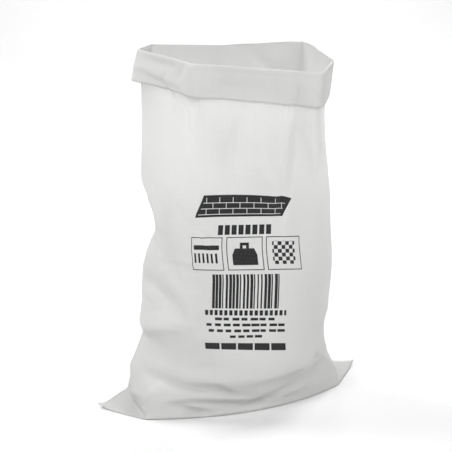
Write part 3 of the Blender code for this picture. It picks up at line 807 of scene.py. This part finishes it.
def woven(name, printed):
    """Flat tapes woven one over one, a little uneven in tone, with or without the black print. A tape is
    level across its width and falls off at its edges as a power, and it dips along its length as a
    parabola."""
    finish = Finish(name)
    uv = finish.node("ShaderNodeUVMap", {"uv_map": "cloth"})
    split = finish.node("ShaderNodeSeparateXYZ", inputs={0: uv})
    u = split * ROUND
    v = Value(finish, split.socket.node.outputs[1]) * ROUND
    warp_count, weft_count = finish.floor(u / TAPE), finish.floor(v / TAPE)
    a = abs(u / TAPE - warp_count - 0.5) * 2
    b = abs(v / TAPE - weft_count - 0.5) * 2
    over = (warp_count + weft_count) % 2
    warp = (1 - a ** TAPE_EDGE) * (1 - TAPE_DIP * b * b)
    weft = (1 - b ** TAPE_EDGE) * (1 - TAPE_DIP * a * a)
    height = over * warp + (1 - over) * weft
    tape = {0: over * warp_count + 0.5, 1: (1 - over) * weft_count + 0.5}
    tone = finish.node("ShaderNodeTexWhiteNoise", {"noise_dimensions": "2D"},
                       {"Vector": finish.node("ShaderNodeCombineXYZ", inputs=tape)})
    cloud = finish.noise(uv, CLOUD_SCALE, Detail=4.0)
    shade = height * WEAVE_SHARE + tone * TONE_SHARE + cloud * CLOUD_SHARE
    # painted light: the unprinted inner face, seen inside the mouth and on the cuff, gets a lighter copy of
    # the cloth's colour so that the shaded inside looks brighter
    colour = finish.mix(shade, GAP_COLOUR, CLOTH_COLOUR if printed else INNER_PAINTED_LIGHT_COLOUR)
    rough = ROUGHNESS + tone * TONE_ROUGHNESS
    through = TRANSLUCENCY[name]
    if printed:
        ink = print_mask(finish, u, v) * (INK_IN_GAPS + INK_ON_TAPES * height)
        colour = finish.mix(ink, colour, INK_COLOUR)
        rough = rough - ink * INK_SMOOTHNESS
        through = TRANSLUCENCY[name] * (1 - ink)
    bump = finish.bump(height, WEAVE_BUMP)
    bump = finish.bump(finish.noise(uv, CRINKLE_SCALE, Detail=3.0, Roughness=0.6), CRINKLE_BUMP, bump)
    bump = finish.bump(crumpled(finish, uv), CRUMPLE_BUMP, bump)
    finish.set(Base_Color=colour, Roughness=rough, Normal=bump, Specular_IOR_Level=SHEEN_LEVEL)
    finish.let_light_through(through, LIGHT_THROUGH)
    return finish.material


def crumpled(finish, uv):
    """Flat facets with thin valleys between them, from Voronoi cells whose place wanders with a coarse
    noise."""
    wander = finish.node("ShaderNodeTexNoise", {},
                         {"Vector": uv, "Scale": 0.5 * CRUMPLE_SCALE, "Detail": 2.0}, 1)
    place = finish.node("ShaderNodeMix", {"data_type": "VECTOR"}, {0: CRUMPLE_WANDER, 4: uv, 5: wander}, 1)
    edge = finish.node("ShaderNodeTexVoronoi", {"feature": "DISTANCE_TO_EDGE"},
                       {"Vector": place, "Scale": CRUMPLE_SCALE})
    return finish.math("MINIMUM", edge, CRUMPLE_VALLEY) / CRUMPLE_VALLEY


def print_mask(finish, u, v):
    """1 under ink and 0 elsewhere, from the place on the flat cloth: the print's plain shapes, each a
    product of comparisons, and all of them joined by taking the greatest."""
    across, up = u - FRONT_MIDDLE, v - PRINT_MIDDLE
    terms = across, up, across * across, across * up, up * up
    x, y = [sum(weight * term for weight, term in zip(weights[1:], terms)) + weights[0]
            for weights in (PRINT_ACROSS, PRINT_UP)]

    def box(left, right, low, high):
        return (x > left) * (x < right) * (y > low) * (y < high)

    shapes = [brick_block(finish, x, y), uneven_stripes(finish, x) * box(*STRIPES)]
    for left, right in SIGN_SIDES:
        inside = box(left + SIGN_LINE, right - SIGN_LINE, SIGN_LOW + SIGN_LINE, SIGN_HIGH - SIGN_LINE)
        shapes.append(box(left, right, SIGN_LOW, SIGN_HIGH) * (1 - inside))
    shapes.append(box(*RULER))
    taper = WEIGHT_HALF - (y - WEIGHT[2]) * WEIGHT_TAPER
    shapes.append(box(*WEIGHT) * (abs(x - WEIGHT_MIDDLE) < taper))
    shapes.append(box(*HANDLE) * (1 - box(*HANDLE_HOLE)))
    check_across = (x - PATTERN_START) % CHECK_WIDTH < CHECK_WIDTH / 2
    check_up = y % CHECK_HEIGHT < CHECK_HEIGHT / 2
    shapes.append(box(*CHEQUER) * abs(check_across - check_up))
    for left, right, low, high, step, width in BARS:
        shapes.append(box(left, right, low, high) * ((x - left) % step < width))
    for low, left, right in DASHES:
        dash = (x - left) * (round((right - left) / DASH_STEP) / (right - left))
        width = DASH_FILL[0] + DASH_FILL[1] * finish.random(finish.floor(dash) + 1000 * low)
        shapes.append(box(left, right, low, low + DASH_HEIGHT) * (dash % 1 < width))
    mask = shapes[0]
    for shape in shapes[1:]:
        mask = finish.either(mask, shape)
    return mask


def brick_block(finish, x, y):
    """A block whose sides lean by a share of its height, with a brick wall's joints left blank inside its
    border: level ones from course to course, and upright ones that are shifted by half a brick in every
    other course."""
    lean = (y - BLOCK[2]) * BLOCK_LEAN
    block, inside = [(x > lean + left) * (x < lean + right) * (y > low) * (y < high)
                     for left, right, low, high in (BLOCK, BLOCK_INSIDE)]
    course = y - BLOCK_INSIDE[2]
    shift = finish.floor(course / BRICK_HEIGHT) % 2 * (BRICK_LENGTH / 2)
    joint = finish.either(course % BRICK_HEIGHT < JOINT, (x + shift - PATTERN_START) % BRICK_LENGTH < JOINT)
    return block * (1 - inside * joint)


def uneven_stripes(finish, x):
    """Upright stripes at an even step, each of a width of its own."""
    stripe = (x - STRIPES[0]) / STRIPE_STEP
    return stripe % 1 < STRIPE_FILL[0] + STRIPE_FILL[1] * finish.random(finish.floor(stripe) + 0.5)


def plain(name, colour, roughness):
    finish = Finish(name)
    finish.set(Base_Color=colour, Roughness=roughness)
    return finish.material


def build_sack():
    """The whole sack is one sheet of cloth, given its thickness inwards, with the print on its outer
    face."""
    columns = COLUMNS
    run, cloth = sack_cloth(columns)
    piece = surface_piece("sack_cloth", cloth, np.arange(columns + 1) / columns, run[:, 0] / ROUND, True,
                          [woven("printed_weave", True), woven("plain_weave", False)], sewn=True)
    wall_thickness = piece.modifiers.new("cloth thickness", "SOLIDIFY")
    wall_thickness.thickness = CLOTH_THICKNESS
    wall_thickness.offset = -1.0
    wall_thickness.material_offset = 1
    wall_thickness.material_offset_rim = 1
    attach(piece, "root")
    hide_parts("sack_body")


def build_thread():
    """The thread that sews the bottom shut, half sunk in the sewn edge."""
    along, points = thread_tube()
    thread = surface_piece("bottom_thread", points, np.linspace(0, 0.02, THREAD_SIDES + 1), along, True,
                           [plain("bottom_thread", THREAD_COLOUR, 0.6)])
    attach(thread, "root")
    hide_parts("seam_thread")


def build_floor():
    floor = surface_piece("studio_floor", studio_sweep(), np.array([0.0, 1.0]),
                          np.linspace(0, 1, FLOOR_ROWS), False, [plain("studio_floor", FLOOR_COLOUR, 0.9)])


def build_sky():
    """A white sky that gives little light of its own, and is bright only where it is looked at."""
    sky = bpy.data.worlds.new("studio light")
    sky.use_nodes = True
    nodes, links = sky.node_tree.nodes, sky.node_tree.links
    dim, seen = nodes["Background"], nodes.new("ShaderNodeBackground")
    for background, strength in ((dim, SKY_LIGHT), (seen, SKY_SEEN)):
        background.inputs["Color"].default_value = SKY_COLOUR
        background.inputs["Strength"].default_value = strength
    either = nodes.new("ShaderNodeMixShader")
    links.new(nodes.new("ShaderNodeLightPath").outputs["Is Camera Ray"], either.inputs[0])
    links.new(dim.outputs[0], either.inputs[1])
    links.new(seen.outputs[0], either.inputs[2])
    links.new(either.outputs[0], nodes["World Output"].inputs["Surface"])
    bpy.context.scene.world = sky


def build_lamps():
    for name, place, size, power, target in LAMPS:
        lamp = bpy.data.lights.new(name, "AREA")
        lamp.size = size
        lamp.energy = power
        light = bpy.data.objects.new(name, lamp)
        light.location = place
        light.visible_camera = False
        bpy.context.scene.collection.objects.link(light)
        aim(light, target)
    bpy.context.scene.view_settings.view_transform = "Standard"


def aim(thing, target):
    """Points a lamp at a place: tilted up from straight down, and then turned to the place's bearing."""
    away = np.array(thing.location) - np.array(target)
    turn = math.atan2(away[0], -away[1])
    thing.rotation_euler = (math.atan2(math.hypot(away[0], away[1]), away[2]), 0.0, turn)


def set_camera():
    """The camera stands left of the sack's front and looks a little down on it."""
    lens = bpy.data.cameras.new("camera")
    lens.lens = CAMERA_LENS
    lens.sensor_width = CAMERA_FILM
    camera = bpy.data.objects.new("camera", lens)
    camera.location = (-CAMERA_REACH * ALONG_VIEW, -CAMERA_REACH * ACROSS_VIEW, CAMERA_HEIGHT)
    camera.rotation_euler = (math.pi / 2 - CAMERA_TILT, 0.0, -(CAMERA_TURN - CAMERA_PAN))
    bpy.context.scene.collection.objects.link(camera)
    bpy.context.scene.camera = camera


set_camera()
build_floor()
build_sky()
build_lamps()
build_sack()
build_thread()
